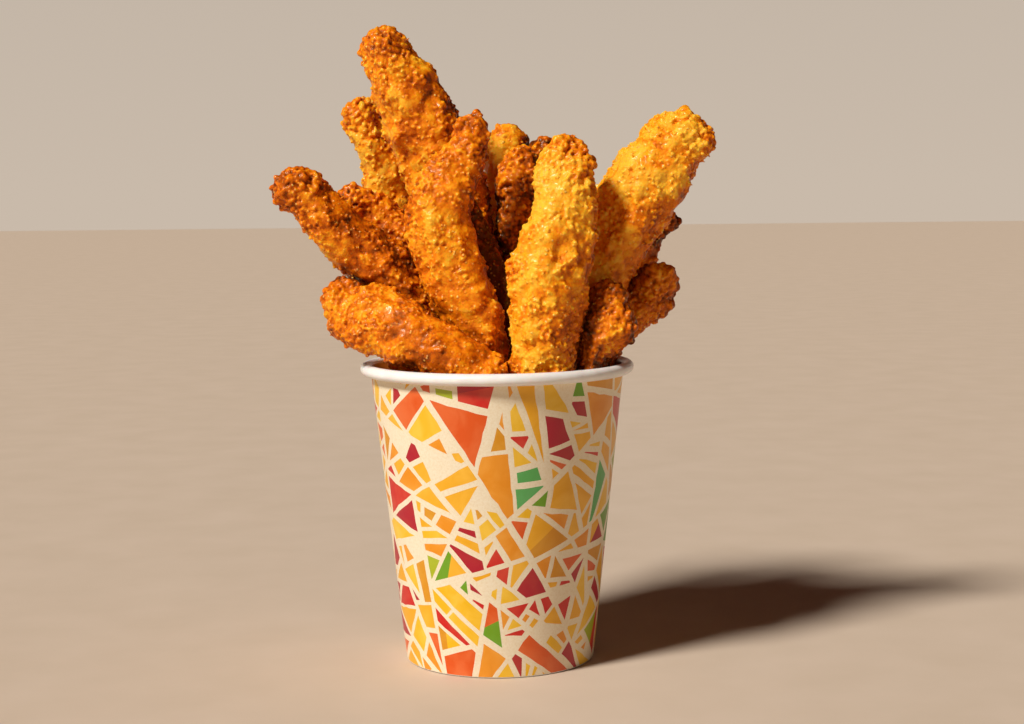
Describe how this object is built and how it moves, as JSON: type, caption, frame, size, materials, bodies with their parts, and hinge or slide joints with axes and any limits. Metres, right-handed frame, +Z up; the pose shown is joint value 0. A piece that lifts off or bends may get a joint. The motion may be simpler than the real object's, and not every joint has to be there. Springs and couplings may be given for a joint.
{
  "type": "breaded chicken tenders in a paper cup",
  "caption": "Crisp breaded fried chicken tenders fanned out of a tapered paper cup with a rolled white rim and a printed broken-tile pattern.",
  "frame": {"origin": "on the floor under the middle of the cup", "axes": "+Z up, +X to the right as seen from the front, -Y towards the viewer"},
  "size_m": [0.1837, 0.1158, 0.2689],
  "materials": {
    "printed_paper": "coated paper board, satin",
    "golden_crust": "rough fried breading with oily glints",
    "pale_crust": "rough fried breading with oily glints",
    "brown_crust": "rough fried breading, darker"
  },
  "bodies": {
    "root": {"paper_cup": "printed_paper", "tender_tall_left": "golden_crust", "tender_back_left": "golden_crust", "tender_front": "golden_crust", "tender_middle": "golden_crust", "tender_low_left": "golden_crust", "tender_mid_left": "brown_crust", "tender_rim_left": "golden_crust", "tender_back_light": "pale_crust", "tender_centre": "brown_crust", "tender_back_centre": "brown_crust", "tender_front_tall": "pale_crust", "tender_right": "pale_crust", "tender_back_right": "golden_crust", "tender_low_right": "brown_crust", "tender_rim_right": "golden_crust"}
  },
  "joints": []
}
